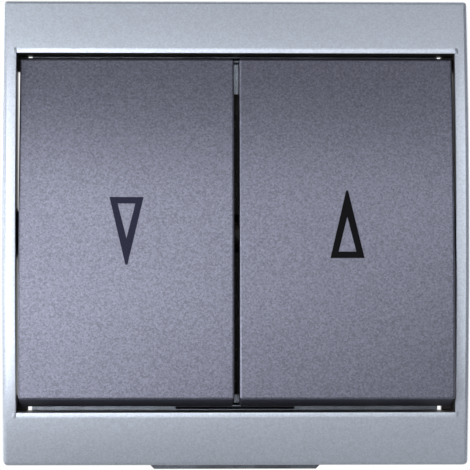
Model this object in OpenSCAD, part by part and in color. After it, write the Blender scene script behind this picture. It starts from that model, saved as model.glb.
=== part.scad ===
// Flush roller shutter switch with two latching rockers, a square cover frame,
// a steel mounting plate and a switching insert behind it.
// Millimetres. X is right, Z is up, the front faces -Y and the wall plane is y = 0.

/* [Cover frame] */
// Width and height of the cover frame
frame_size = 80; // [78:0.5:90]
// Depth of the frame at its top and bottom edges
frame_edge_depth = 8; // [7:0.1:10]
// How far the arched front rises towards the middle
frame_rise = 3.5; // [1:0.1:5]
// Radius of the outer corners seen from the front
frame_corner_r = 1; // [0.5:0.1:3]
// Softening of the outer front edges
frame_edge_r = 0.7; // [0.3:0.1:1.5]
// Width of the side bars
side_bar = 2.3; // [1.8:0.1:2.5]
// Height of the top and bottom bars
end_bar = 9.1; // [7.5:0.1:9.3]
// Width of the flat rim along the upper and lower edge of the opening
opening_bevel = 0.9; // [0.3:0.1:1.5]
// How far that rim falls back towards the opening
bevel_fall = 0.1; // [0:0.05:0.3]
// Bevel along the side edges of the opening
side_bevel = 0.1; // [0.05:0.05:0.4]
// Draft of the side bars, as extra width at the wall on each side
opening_draft = 0.3; // [0:0.05:0.6]
// Wall thickness of the hollow top and bottom bars
frame_wall = 1.6; // [1.2:0.1:2.2]
// Thickness of the front over the hollow bars
frame_roof = 2.2; // [1.4:0.1:2.4]

/* [Rockers] */
// Gap between the two rockers
rocker_gap = 0.9; // [0.6:0.1:1.4]
// Clearance between a rocker and the side bar
side_gap = 0.4; // [0.3:0.05:0.8]
// Clearance above and below a rocker face
end_gap = 1.55; // [1.5:0.05:2.5]
// How far both rockers sit to the right in their side play
rocker_play = 0.1; // [0:0.05:0.2]
// How far the rocker faces sit above the pivot's height
rocker_rise = 0.35; // [0:0.05:0.4]
// Tilt of a released rocker, lower end proud
rocker_tilt = 4.2; // [2:0.1:4.6]
// Lean of the upper and lower rocker walls
rocker_lean = 11.5; // [2:0.5:12]
// Wall thickness of the rocker shell
rocker_wall = 1.5; // [1.2:0.1:2]
// Softening of the rocker's front edges
rocker_edge_r = 0.45; // [0.2:0.05:0.8]
// Chamfer of the rocker's corners seen from the front
rocker_corner = 0.35; // [0.1:0.05:0.6]
// Height of the rocker's back edge above the wall
rocker_back = 4.2; // [3.9:0.1:5]

/* [Direction marks] */
// Width of a printed arrow triangle
mark_w = 5.84; // [4:0.02:8]
// Height of a printed arrow triangle
mark_h = 11.6; // [8:0.1:14]
// Line width of a printed arrow triangle
mark_line = 1.1; // [0.6:0.05:1.6]
// Height of the down arrow's middle above the switch centre
down_mark_z = -0.65; // [-2:0.05:2]
// Height of the up arrow's middle above the switch centre
up_mark_z = 0.5; // [-2:0.05:2]
// Thickness of the print
mark_t = 0.08; // [0.05:0.01:0.2]

/* [Mounting plate] */
// Distance of the steel plate's edge inside the frame's edge
plate_inset = 4.5; // [4:0.1:5]
// Thickness of the steel plate
plate_t = 1; // [0.8:0.1:1.2]
// Chamfer of the plate's corners
plate_chamfer = 4; // [1:0.5:8]
// Width of the lug that shows below the frame
lug_w = 29.6; // [26:0.1:32]
// How far the lug shows below the frame
lug_out = 1.2; // [0.6:0.1:1.5]
// Distance of the box screws from the plate's side edges
slot_inset = 5.5; // [5:0.1:6]
// Radius of the ends of the screw slots
slot_r = 1.9; // [1.6:0.1:2.2]
// Overall length of a screw slot
slot_l = 7; // [5:0.5:8]

/* [Insert] */
// Width and height of the insert housing
housing_size = 42; // [41:0.5:44]
// Chamfer of the housing corners
housing_chamfer = 5; // [4.6:0.1:6]
// Depth of the housing behind the wall plane
housing_depth = 24; // [23:0.5:30]
// Wall thickness of the housing
housing_wall = 1.6; // [1.4:0.1:1.8]
// Distance of the rocker axis in front of the wall
pivot_depth = 4; // [3.8:0.1:4.4]
// Radius of the toggle pins
pin_r = 1.4; // [1.2:0.05:1.6]
// Radial running clearance of pins and screws
running_gap = 0.05; // [0.02:0.01:0.09]
// Radius of the spring plungers
plunger_r = 1.6; // [1.4:0.1:1.7]
// Swing of a contact lever to each side of the middle
lever_swing = 5; // [3:0.5:5.5]
// Radius of the wire entries in the terminal blocks
wire_r = 1.4; // [1.1:0.1:1.6]
// Height of a terminal block
terminal_h = 7; // [6.6:0.1:7.4]

/* [Hidden] */
$fn = 72;
half = frame_size / 2;
arch_r = (half * half + frame_rise * frame_rise) / (2 * frame_rise);
arch_top = frame_edge_depth + frame_rise;
arch_y = arch_r - arch_top;
arch_depth = 20;
opening_w = frame_size - 2 * side_bar;
opening_h = frame_size - 2 * end_bar;
rocker_w = (opening_w - 2 * side_gap - rocker_gap) / 2;
rocker_h = opening_h - 2 * end_gap;
rocker_x0 = rocker_gap / 2;
rocker_x1 = rocker_x0 + rocker_w;
rocker_mid = (rocker_x0 + rocker_x1) / 2;
notch_gap = 1;
corner_foot_w = 1.5;
corner_foot_h = 2.7;
corner_foot_t = 1.5;
plate_size = frame_size - 2 * plate_inset;
screw_spacing = plate_size - 2 * slot_inset;
plate_gap = 0.2;
lug_z = half + lug_out;
lug_c = 0.65;
lug_gap = 0.3;
bead_w = 20.8;
bead_r = 0.6;
bead_sink = 0.2;
bead_z = opening_h / 2 - 0.7;
spare_hole = plate_size / 2 - 9.5;
spare_r = 1.6;
catch_z = 4.3;
catch_lip = 1.5;
housing_front = 1.5;
wall_in = housing_size / 2 - housing_wall;
chamfer_in = housing_chamfer - housing_wall * (2 - sqrt(2));
cover_t = 1.6;
cover_rib = 14;
flange_out = 1;
cap_front = plate_t + 0.2;
cap_wall = 1.6;
window_w = 6.8;
window_h = 9.2;
deck_y = 12;
deck_t = 1.4;
partition_t = 1.2;
ear_t = 1.5;
ear_gap = 0.2;
ear_foot = 3.4;
centre_ear = 1.3;
barrel_r = pin_r + 1.2;
barrel_x0 = centre_ear + ear_gap;
barrel_x1 = housing_size / 2 - 2.5;
ear_x1 = barrel_x1 + ear_gap + ear_t;
toggle_x = (barrel_x0 + barrel_x1) / 2;
bridge_x0 = rocker_x0 + rocker_wall + rocker_play + 0.1;
bridge_z = 10;
bridge_y = 5.5;
bridge_t = 1.5;
stem_r = plunger_r + 0.8;
stem_y = 5;
bore_y = -2;
plunger_y = 3.2;
spring_turns = 5;
spring_wire = 0.25;
clip_w = barrel_x1 - barrel_x0 - 4;
clip_t = 1.2;
clip_gap = 0.05;
clip_hook = 0.5;
rib_x = rocker_mid + 7.6;
rib_t = 1;
rib_h = 3.4;
rib_l = rocker_h - 11;
lever_axis_y = 9.6;
fulcrum_r = 0.55;
fulcrum_w = 3.6;
saddle_r = fulcrum_r + running_gap;
lever_t = 0.6;
lever_l = 16;
lever_w = 4;
tip_y = lever_axis_y - saddle_r - lever_t - 0.1;
contact_z = 6.8;
contact_dome = 2.2;
contact_t = 0.5;
contact_r = 1.1;
dome_back = saddle_r - contact_t + contact_dome;
contact_gap = 0.04;
seat_y = lever_axis_y - dome_back * cos(lever_swing) + contact_z * sin(lever_swing) + contact_dome
    + contact_gap;
seat_z = contact_z * cos(lever_swing) + dome_back * sin(lever_swing);
seat_t = 0.5;
seat_r = 1.3;
stop_y = lever_axis_y - saddle_r * cos(lever_swing) + lever_l / 2 * sin(lever_swing) + 0.05;
bar_t = 0.8;
bar_y = deck_y - bar_t;
strip_w = 2.2;
strip_x = wall_in - 3.8;
rivet_x = 4;
rivet_r = 1.25;
rivet_head = 2;
rivet_z = housing_size / 2 + 2.9;
tongue_w = 14;
tongue_z = rivet_z + 2.3;
terminal_w = 7.6;
terminal_x = housing_size / 2 - 9.6;
terminal_z1 = wall_in;
terminal_z0 = terminal_z1 - terminal_h;
terminal_bore_z = terminal_z1 - 4.1;
terminal_y0 = deck_y + deck_t;
terminal_y1 = housing_depth - cover_t;
tab_z = terminal_z0 + 0.8;
tab_w = 5;
clamp_y = (terminal_y0 + terminal_y1) / 2 + 0.5;
clamp_r = 1.4;
clamp_head_r = 2.1;

// Which node to draw, or all of them

function corner_arc(c, r, a0, a1, steps) =
    [for (i = [0:steps]) let (a = a0 + (a1 - a0) * i / steps) c + r * [cos(a), sin(a)]];
function front_y(z) = arch_y - sqrt(arch_r * arch_r - z * z);

module slab(y0, y1) {
    translate([0, y1, 0]) rotate([90, 0, 0]) linear_extrude(height = y1 - y0) children();
}

module bar(x0, x1) {
    translate([x0, 0, 0]) rotate([90, 0, 90]) linear_extrude(height = x1 - x0) children();
}

module bar_z(z) {
    translate([0, 0, -z]) linear_extrude(height = 2 * z) children();
}

module rod_x(x0, x1, y, z, r) {
    translate([x0, y, z]) rotate([0, 90, 0]) cylinder(r = r, h = x1 - x0);
}

module rod_y(x, y0, y1, z, r) {
    translate([x, y0, z]) rotate([-90, 0, 0]) cylinder(r = r, h = y1 - y0);
}

module block(x0, x1, y0, y1, z0, z1) {
    translate([x0, y0, z0]) cube([x1 - x0, y1 - y0, z1 - z0]);
}

module rounded(w, h, r) {
    union() {
        square([w - 2 * r, h], center = true);
        square([w, h - 2 * r], center = true);
        for (x = [-1, 1], z = [-1, 1])
            translate([x * (w / 2 - r), z * (h / 2 - r)]) circle(r);
    }
}

module octagon(w, h, c) {
    polygon([[-w / 2 + c, -h / 2], [w / 2 - c, -h / 2], [w / 2, -h / 2 + c], [w / 2, h / 2 - c],
        [w / 2 - c, h / 2], [-w / 2 + c, h / 2], [-w / 2, h / 2 - c], [-w / 2, -h / 2 + c]]);
}

// Turned body round the arch axis, with softened edges at x0 and x1
module arch_ring(x0, x1, r, e, deep) {
    translate([0, arch_y, 0]) rotate([0, 90, 0]) rotate_extrude($fn = 256)
        polygon(concat([[r - deep, x0]], corner_arc([r - e, x0 + e], e, -90, 0, 4),
            corner_arc([r - e, x1 - e], e, 0, 90, 4), [[r - deep, x1]]));
}

// Side outline with softened upper and lower front edges and leaning walls
module side_outline(h, e, lean, back) {
    zc = h / 2 - e;
    yc = arch_y - sqrt(pow(arch_r - e, 2) - zc * zc);
    steps = 4;
    edge = [for (i = [0:steps]) let (a = lean + (68 - lean) * i / steps)
        [yc - e * sin(a), zc + e * cos(a)]];
    foot = [-back, edge[0][1] + (-back - edge[0][0]) * tan(lean)];
    tip = edge[steps] + 4 * e * [-cos(72), -sin(72)];
    top = concat([foot], edge, [tip, [-arch_top - 2, tip[1]]]);
    bottom = [for (i = [len(top) - 1:-1:0]) [top[i][0], -top[i][1]]];
    polygon(concat(top, bottom));
}

function foot_z() =
    let (e = rocker_edge_r, zc = rocker_h / 2 - e,
        yc = arch_y - sqrt(pow(arch_r - e, 2) - zc * zc),
        y = yc - e * sin(rocker_lean), z = zc + e * cos(rocker_lean))
    z + (-rocker_back - y) * tan(rocker_lean);

module tilted() {
    translate([0, -pivot_depth, 0]) rotate([-rocker_tilt, 0, 0])
        translate([0, pivot_depth, 0]) children();
}

module on_left() {
    mirror([1, 0, 0]) children();
}

module cover_frame() {
    color([0.70, 0.73, 0.78]) difference() {
        intersection() {
            slab(-arch_top - 1, 0) rounded(frame_size, frame_size, frame_corner_r);
            arch_ring(-half, half, arch_r, frame_edge_r, arch_depth);
            bar(-half, half) side_outline(frame_size, frame_edge_r, 0, 0);
        }
        frame_opening();
        for (s = [-1, 1]) frame_channel(s);
        block(-lug_w / 2 - lug_gap, lug_w / 2 + lug_gap, -plate_t - plate_gap, 1, -half - 1,
            -half + 2 * frame_wall);
    }
    color([0.70, 0.73, 0.78]) for (s = [-1, 1]) {
        translate([s * (opening_w / 2 + 0.6), -plate_t - catch_lip + 0.1, 0])
            cube([1.2, 1.2, 2 * catch_z - 1], center = true);
        for (t = [-1, 1])
            translate([s * (opening_w + 1 - corner_foot_w) / 2, -corner_foot_t / 2,
                t * (opening_h + 0.2 - corner_foot_h) / 2])
                cube([1 + corner_foot_w, corner_foot_t, corner_foot_h], center = true);
    }
}

module frame_opening() {
    side = opening_w / 2;
    top = opening_h / 2;
    edge_y = front_y(top);
    deep_y = front_y(0) - 1;
    draft = opening_draft / (-edge_y);
    translate([0, 0, -top]) linear_extrude(height = opening_h)
        polygon([[-side - opening_draft - draft, 1], [side + opening_draft + draft, 1],
            [side, edge_y], [side, deep_y], [-side, deep_y], [-side, edge_y]]);
    rim_y = front_y(top + opening_bevel);
    for (s = [-1, 1])
        bar(-side, side)
            polygon([[rim_y + bevel_fall, s * (top - 1)], [rim_y + bevel_fall, s * top],
                [rim_y, s * (top + opening_bevel)], [deep_y, s * (top + opening_bevel)],
                [deep_y, s * (top - 1)]]);
    intersection() {
        arch_bevel(side);
        slab(-arch_depth, 0) square([frame_size, opening_h], center = true);
    }
}

module arch_bevel(side) {
    translate([0, arch_y, 0]) rotate([0, 90, 0]) rotate_extrude($fn = 256)
        polygon([[arch_r - side_bevel, -side], [arch_r + 0.5, -side - side_bevel - 0.5],
            [arch_r + 0.5, side + side_bevel + 0.5], [arch_r - side_bevel, side]]);
}

module frame_channel(s) {
    z0 = opening_h / 2 + frame_wall;
    z1 = half - frame_wall;
    y0 = front_y(z0) + frame_roof;
    y1 = front_y(z1) + frame_roof;
    x = opening_w / 2 - 0.6;
    bar(-x, x) polygon([[1, s * z0], [y0, s * z0], [y1, s * z1], [1, s * z1]]);
    block(-x, x, -plate_t - plate_gap, 1, s > 0 ? opening_h / 2 - 1 : -z0 - 1,
        s > 0 ? z0 + 1 : -opening_h / 2 + 1);
}

module rocker_shell() {
    base_z = foot_z();
    difference() {
        intersection() {
            arch_ring(rocker_x0, rocker_x1, arch_r, rocker_edge_r * 0.8, arch_depth);
            bar(rocker_x0, rocker_x1) side_outline(rocker_h, rocker_edge_r, rocker_lean, rocker_back);
        }
        for (x = [rocker_x0, rocker_x1], s = [-1, 1])
            translate([x, -rocker_back, s * base_z]) rotate([s * rocker_lean, 0, 0])
                rotate([0, 45, 0])
                    cube([rocker_corner * sqrt(2), 2 * arch_depth, rocker_corner * sqrt(2)],
                        center = true);
        rocker_hollow(base_z);
        block(rocker_x0 - 1, rocker_x0 + rocker_wall + 0.5, -pivot_depth - barrel_r - notch_gap, 0,
            -ear_foot - notch_gap, ear_foot + notch_gap);
    }
}

module rocker_hollow(base_z) {
    z0 = base_z - rocker_wall;
    slope = tan(rocker_lean);
    intersection() {
        translate([rocker_x0 + rocker_wall, arch_y, 0]) rotate([0, 90, 0])
            cylinder(r = arch_r - rocker_wall - 0.1, h = rocker_w - 2 * rocker_wall, $fn = 256);
        bar(rocker_x0 + rocker_wall, rocker_x1 - rocker_wall)
            polygon([[1 - rocker_back, z0 + slope], [-arch_top, z0 - slope * (arch_top - rocker_back)],
                [-arch_top, -z0 + slope * (arch_top - rocker_back)], [1 - rocker_back, -z0 - slope]]);
    }
}

// Hooks and pads that hold the rocker on its toggle, and a stiffening rib
module rocker_clips() {
    x0 = toggle_x - clip_w / 2;
    x1 = toggle_x + clip_w / 2;
    near = bridge_z + clip_gap;
    far = near + clip_t;
    hook = bridge_z - clip_hook;
    intersection() {
        union() {
            for (s = [-1, 1]) {
                bar(x0, x1) polygon([[-arch_top, s * near], [-arch_top, s * far],
                    [clip_hook - bridge_y, s * far], [clip_gap - bridge_y, s * hook],
                    [-bridge_y, s * hook], [-bridge_y, s * near]]);
                block(x0, x1, -arch_top, -bridge_y - bridge_t, s * bridge_z / 2 - clip_t / 2,
                    s * bridge_z / 2 + clip_t / 2);
            }
            block(rib_x, rib_x + rib_t, -arch_top, rib_h - arch_top, -rib_l / 2, rib_l / 2);
        }
        translate([rocker_x0, arch_y, 0]) rotate([0, 90, 0])
            cylinder(r = arch_r - rocker_wall / 2, h = rocker_w, $fn = 256);
    }
}

// Both rockers sit to the right by the same play, so the left one is a mirrored copy moved on
module at_play() {
    translate([rocker_play, 0, 0]) tilted() children();
}

module rocker() {
    union() {
        translate([0, 0, rocker_rise]) rocker_shell();
        rocker_clips();
    }
}

module down_rocker() {
    color([0.42, 0.42, 0.47]) at_play() on_left() rocker();
}

module up_rocker() {
    color([0.42, 0.42, 0.47]) at_play() rocker();
}

// Triangle outline pointing up, centred on its height
module triangle_line() {
    w = mark_w / 2;
    h = mark_h / 2;
    side = sqrt(w * w + mark_h * mark_h);
    blunt = 0.17;
    in_w = w - mark_line * (side + w) / mark_h;
    in_h = h - mark_line * side / w;
    difference() {
        polygon([[-w, -h], [w, -h], [blunt, h], [-blunt, h]]);
        polygon([[-in_w, -h + mark_line], [in_w, -h + mark_line], [0, in_h]]);
    }
}

module print_on_arch(z, flip) {
    intersection() {
        slab(-arch_top - 2, -arch_top + 4) translate([rocker_mid, z])
            rotate([0, 0, flip ? 180 : 0]) triangle_line();
        translate([rocker_x0, arch_y, 0]) rotate([0, 90, 0]) difference() {
            cylinder(r = arch_r + mark_t, h = rocker_w, $fn = 256);
            translate([0, 0, -1]) cylinder(r = arch_r, h = rocker_w + 2, $fn = 256);
        }
    }
}

module down_mark() {
    color([0.16, 0.16, 0.2]) at_play() on_left()
        translate([0, 0, rocker_rise]) print_on_arch(down_mark_z, true);
}

module up_mark() {
    color([0.06, 0.06, 0.08]) at_play() translate([0, 0, rocker_rise]) print_on_arch(up_mark_z, false);
}

module mounting_plate() {
    color([0.62, 0.64, 0.67]) union() {
        slab(-plate_t, 0) difference() {
            union() {
                octagon(plate_size, plate_size, plate_chamfer);
                polygon([[-lug_w / 2, -plate_size / 2 + 1], [-lug_w / 2, -lug_z + lug_c],
                    [-lug_w / 2 + lug_c, -lug_z], [lug_w / 2 - lug_c, -lug_z],
                    [lug_w / 2, -lug_z + lug_c], [lug_w / 2, -plate_size / 2 + 1]]);
            }
            octagon(housing_size - 2 * plate_gap + 0.3, housing_size + 0.3, housing_chamfer);
            for (s = [-1, 1]) {
                translate([s * screw_spacing / 2, 0]) screw_slot();
                for (t = [-1, 1]) {
                    translate([s * spare_hole, t * spare_hole]) circle(spare_r);
                    translate([s * rivet_x, t * rivet_z]) circle(rivet_r);
                }
            }
        }
        for (s = [-1, 1])
            intersection() {
                rod_x(-bead_w / 2, bead_w / 2, bead_sink - plate_t, s * bead_z, bead_r);
                block(-bead_w, bead_w, -plate_t - bead_r, -plate_t / 2, s * bead_z - 2 * bead_r,
                    s * bead_z + 2 * bead_r);
            }
    }
}

module screw_slot() {
    run = slot_l / 2 - slot_r;
    union() {
        square([2 * run, 2 * slot_r], center = true);
        for (s = [-1, 1]) translate([s * run, 0]) circle(slot_r);
    }
}

module catch() {
    edge = plate_size / 2;
    lip = opening_w / 2;
    color([0.1, 0.1, 0.1]) bar_z(catch_z) union() {
        translate([edge - 1.3, -plate_t - 0.9]) square([lip - edge + 0.9, 0.9]);
        translate([edge + plate_gap, -plate_t - 0.9]) square([lip - edge - 0.6, plate_t + 0.8]);
        polygon([[lip - 1.5, -0.1], [lip - 1.5, -plate_t - catch_lip - 0.3],
            [lip - 0.9, -plate_t - catch_lip - 0.7], [lip, -plate_t - catch_lip], [lip, -0.1]]);
    }
}

module left_catch() {
    on_left() catch();
}

module right_catch() {
    catch();
}

module plate_rivets() {
    color([0.75, 0.75, 0.72]) for (x = [-1, 1], z = [-1, 1]) {
        rod_y(x * rivet_x, -plate_t - 0.6, -plate_t, z * rivet_z, rivet_head);
        rod_y(x * rivet_x, -plate_t - 0.1, housing_front + 0.1, z * rivet_z, rivet_r);
        rod_y(x * rivet_x, housing_front, housing_front + 0.5, z * rivet_z, rivet_head);
    }
}

module housing_cap() {
    color([0.13, 0.1, 0.09]) difference() {
        union() {
            slab(-cap_front, housing_front) octagon(housing_size - 0.3, housing_size + 0.1, housing_chamfer);
            slab(0, housing_front) union() {
                octagon(housing_size + 2 * flange_out, housing_size + 2 * flange_out,
                    housing_chamfer + flange_out);
                square([tongue_w, 2 * tongue_z], center = true);
            }
            ear(-centre_ear, centre_ear);
            for (s = [-1, 1])
                ear(s > 0 ? ear_x1 - ear_t : -ear_x1, s > 0 ? ear_x1 : ear_t - ear_x1);
        }
        slab(cap_wall - cap_front, housing_front + 1) octagon(2 * wall_in, 2 * wall_in, chamfer_in);
        for (s = [-1, 1]) {
            slab(-cap_front - 1, housing_front) translate([s * toggle_x, 0])
                square([window_w, window_h], center = true);
            for (t = [-1, 1]) rod_y(s * rivet_x, -1, 3, t * rivet_z, rivet_r);
        }
        rod_x(-ear_x1 - 1, ear_x1 + 1, -pivot_depth, 0, pin_r + running_gap);
    }
}

module ear(x0, x1) {
    bar(x0, x1) union() {
        translate([-pivot_depth, 0]) circle(barrel_r);
        polygon([[-pivot_depth, -barrel_r], [-1, -ear_foot], [-1, ear_foot], [-pivot_depth, barrel_r]]);
    }
}

module housing() {
    color([0.15, 0.12, 0.11]) union() {
        difference() {
            slab(housing_front, terminal_y1) octagon(housing_size, housing_size, housing_chamfer);
            slab(housing_front - 1, deck_y) octagon(2 * wall_in, 2 * wall_in, chamfer_in);
            slab(terminal_y0, terminal_y1 + 1) octagon(2 * wall_in, 2 * wall_in, chamfer_in);
            for (x = [-1, 1], z = [-1, 1]) {
                translate([x * terminal_x, deck_y + deck_t / 2, z * tab_z])
                    cube([tab_w + 0.4, 2 * deck_t, bar_t + 0.4], center = true);
                translate([x * terminal_x, clamp_y, z > 0 ? wall_in - 1 : -wall_in + 1 - 8])
                    cylinder(r = clamp_head_r + 0.2, h = 8);
            }
        }
        partition(housing_front, deck_y + 0.1, -ear_foot, wall_in + 0.1);
        partition(terminal_y0 - 0.1, terminal_y1, terminal_z0 - ear_foot, wall_in + 0.1);
        partition(terminal_y0 - 0.1, terminal_y1, -wall_in - 0.1, ear_foot - terminal_z0);
        block(-toggle_x - lever_w / 2, -toggle_x + lever_w / 2, stop_y, deck_y + 0.1,
            -lever_l / 2 - 0.6, -lever_l / 2 + 0.7);
    }
}

module partition(y0, y1, z0, z1) {
    block(-partition_t / 2, partition_t / 2, y0, y1, z0, z1);
}

module rear_cover() {
    color([0.2, 0.2, 0.21]) difference() {
        union() {
            slab(terminal_y1, housing_depth) octagon(housing_size, housing_size, housing_chamfer);
            slab(terminal_y1 - cover_t, terminal_y1 + 0.1) difference() {
                square([cover_rib, cover_rib], center = true);
                square([cover_rib - 2.4, cover_rib - 2.4], center = true);
            }
        }
        for (x = [-1, 1], z = [-1, 1])
            rod_y(x * terminal_x, terminal_y1 - 1, housing_depth + 1, z * terminal_bore_z, wire_r + 0.5);
    }
}

module toggle() {
    color([0.86, 0.85, 0.8]) difference() {
        union() {
            rod_x(barrel_x0, barrel_x1, -pivot_depth, 0, barrel_r);
            rod_x(0.3, ear_x1, -pivot_depth, 0, pin_r);
            block(bridge_x0, barrel_x1 - 0.2, -bridge_y - bridge_t, -bridge_y, -bridge_z, bridge_z);
            rod_y(toggle_x, -pivot_depth, stem_y, 0, stem_r);
        }
        rod_y(toggle_x, bore_y, stem_y + 1, 0, plunger_r + running_gap);
    }
}

module down_toggle() {
    tilted() on_left() toggle();
}

module up_toggle() {
    tilted() toggle();
}

module plunger() {
    round_y = tip_y - plunger_r;
    color([0.9, 0.9, 0.88]) union() {
        rod_y(toggle_x, plunger_y, round_y, 0, plunger_r);
        intersection() {
            translate([toggle_x, round_y, 0]) sphere(plunger_r);
            rod_y(toggle_x, round_y - 0.2, tip_y + 1, 0, plunger_r - 0.01);
        }
    }
}

module down_plunger() {
    tilted() on_left() plunger();
}

module up_plunger() {
    tilted() plunger();
}

// Round wire coil along Y, closed at both ends
module coil(x, y0, y1, r, wire, turns) {
    steps = 14;
    sides = 6;
    rings = turns * steps;
    pitch = (y1 - y0 - 2 * wire) / turns;
    pts = [for (i = [0:rings], j = [0:sides - 1])
        let (a = 360 * i / steps, b = 360 * j / sides, q = r + wire * cos(b))
        [x + q * cos(a), y0 + wire + pitch * i / steps + wire * sin(b), q * sin(a)]];
    sides_f = [for (i = [0:rings - 1], j = [0:sides - 1])
        let (k = (j + 1) % sides)
        [i * sides + j, (i + 1) * sides + j, (i + 1) * sides + k, i * sides + k]];
    polyhedron(points = pts, faces = concat(sides_f, [[for (j = [0:sides - 1]) j]],
        [[for (j = [sides - 1:-1:0]) rings * sides + j]]), convexity = 8);
}

module spring() {
    color([0.8, 0.8, 0.82]) coil(toggle_x, bore_y, plunger_y, plunger_r - spring_wire - 0.1,
        spring_wire, spring_turns);
}

module down_spring() {
    tilted() on_left() spring();
}

module up_spring() {
    tilted() spring();
}

module swung() {
    translate([0, lever_axis_y, 0]) rotate([lever_swing, 0, 0])
        translate([0, -lever_axis_y, 0]) children();
}

module lever() {
    y0 = lever_axis_y - saddle_r - lever_t;
    color([0.85, 0.62, 0.4]) difference() {
        union() {
            block(toggle_x - lever_w / 2, toggle_x + lever_w / 2, y0, y0 + lever_t,
                -lever_l / 2, lever_l / 2);
            rod_x(toggle_x - lever_w / 2, toggle_x + lever_w / 2, lever_axis_y, 0, saddle_r + lever_t);
        }
        block(toggle_x - lever_w, toggle_x + lever_w, lever_axis_y, lever_axis_y + 3, -3, 3);
        rod_x(toggle_x - lever_w, toggle_x + lever_w, lever_axis_y, 0, saddle_r);
    }
}

module lever_contact(s) {
    y0 = lever_axis_y - saddle_r;
    color([0.9, 0.9, 0.9]) intersection() {
        rod_y(toggle_x, y0, y0 + 1, s * contact_z, contact_r);
        translate([toggle_x, y0 + contact_t - contact_dome, s * contact_z]) sphere(contact_dome);
    }
}

module down_lever() {
    swung() on_left() lever();
}

module up_lever() {
    swung() lever();
}

module down_lever_contact() {
    swung() on_left() lever_contact(1);
}

module up_lever_contacts() {
    swung() {
        lever_contact(1);
        lever_contact(-1);
    }
}

module fulcrum(x) {
    rod_x(x - fulcrum_w / 2, x + fulcrum_w / 2, lever_axis_y, 0, fulcrum_r);
    block(x - fulcrum_w / 2, x + fulcrum_w / 2, lever_axis_y, bar_y + 0.1, -fulcrum_r, fulcrum_r);
}

module pad(x, z) {
    block(x - lever_w / 2, x + lever_w / 2, seat_y + seat_t, bar_y + 0.1, z - 1.6, z + 1.6);
}

module tab(x, s) {
    block(x - tab_w / 2, x + tab_w / 2, deck_y - 0.1, terminal_y0, s * tab_z - bar_t / 2,
        s * tab_z + bar_t / 2);
}

// Flat strip between two corners, seen from the front
module strip(x0, z0, x1, z1) {
    translate([x0, z0]) square([x1 - x0, z1 - z0]);
}

module live_bar() {
    low = -tab_z - 1.8;
    color([0.86, 0.72, 0.4]) union() {
        slab(bar_y, deck_y) union() {
            strip(toggle_x - fulcrum_w / 2, -1.2, strip_x + strip_w, 1.2);
            strip(strip_x, low, strip_x + strip_w, 0);
            strip(-terminal_x - tab_w / 2, low, strip_x + strip_w, low + strip_w);
        }
        fulcrum(toggle_x);
        tab(terminal_x, -1);
        tab(-terminal_x, -1);
    }
}

module link_bar() {
    edge = toggle_x + fulcrum_w / 2;
    color([0.86, 0.72, 0.4]) union() {
        slab(bar_y, deck_y) union() {
            strip(-edge, -6, edge, -4);
            strip(-edge, -6, fulcrum_w - edge, 1.2);
            strip(edge - fulcrum_w, -seat_z - 1.6, edge, -4);
        }
        fulcrum(-toggle_x);
        pad(toggle_x, -seat_z);
    }
}

module line_bar() {
    color([0.86, 0.72, 0.4]) union() {
        slab(bar_y, deck_y)
            strip(toggle_x - fulcrum_w / 2, seat_z - 1.6, terminal_x + tab_w / 2, tab_z + bar_t / 2);
        pad(toggle_x, seat_z);
        tab(terminal_x, 1);
    }
}

module down_bar() {
    on_left() line_bar();
}

module up_bar() {
    line_bar();
}

module fixed_contact(x, z) {
    color([0.9, 0.9, 0.9]) rod_y(x, seat_y, seat_y + seat_t, z, seat_r);
}

module link_contact() {
    fixed_contact(toggle_x, -seat_z);
}

module down_contact() {
    fixed_contact(-toggle_x, seat_z);
}

module up_contact() {
    fixed_contact(toggle_x, seat_z);
}

module terminal() {
    color([0.88, 0.76, 0.45]) difference() {
        block(terminal_x - terminal_w / 2, terminal_x + terminal_w / 2, terminal_y0, terminal_y1,
            terminal_z0, terminal_z1);
        rod_y(terminal_x, terminal_y0 + 1.6, terminal_y1 + 1, terminal_bore_z, wire_r);
        translate([terminal_x, clamp_y, terminal_bore_z])
            cylinder(r = clamp_r + running_gap, h = 10);
    }
}

module clamp_screw() {
    head_z = terminal_z1;
    color([0.75, 0.75, 0.72]) difference() {
        union() {
            translate([terminal_x, clamp_y, terminal_bore_z + wire_r + 0.1])
                cylinder(r = clamp_r, h = head_z - terminal_bore_z - wire_r);
            translate([terminal_x, clamp_y, head_z]) cylinder(r = clamp_head_r, h = 1.4);
        }
        translate([terminal_x, clamp_y, head_z + 1.2]) cube([6, 0.6, 1.4], center = true);
    }
}

module on_lower() {
    mirror([0, 0, 1]) children();
}

module live_terminal() {
    on_lower() terminal();
}

module loop_terminal() {
    on_lower() on_left() terminal();
}

module down_terminal() {
    on_left() terminal();
}

module up_terminal() {
    terminal();
}

module live_screw() {
    on_lower() clamp_screw();
}

module loop_screw() {
    on_lower() on_left() clamp_screw();
}

module down_screw() {
    on_left() clamp_screw();
}

module up_screw() {
    clamp_screw();
}

cover_frame();
down_rocker();
up_rocker();
down_mark();
up_mark();
mounting_plate();
left_catch();
right_catch();
plate_rivets();
housing_cap();
housing();
rear_cover();
down_toggle();
up_toggle();
down_plunger();
up_plunger();
down_spring();
up_spring();
down_lever();
up_lever();
down_lever_contact();
up_lever_contacts();
live_bar();
link_bar();
down_bar();
up_bar();
link_contact();
down_contact();
up_contact();
live_terminal();
loop_terminal();
down_terminal();
up_terminal();
live_screw();
loop_screw();
down_screw();
up_screw();
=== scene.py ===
"""A flush roller shutter switch, dressed for a picture.

The switch is an 80 mm cover frame in silver lacquer, two arched rockers in anthracite lacquer with
an arrow printed on each, and the insert behind them: steel plate, black housing, spring plungers,
rocking contact levers, brass strips and four screw terminals. The exact solids are loaded as they
are. This script gives every solid its finish, winds the two plunger springs, and sets up the
studio, the lamps and the camera.
"""

from __future__ import annotations

import logging
import math
from dataclasses import dataclass, field
from enum import Enum

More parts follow.
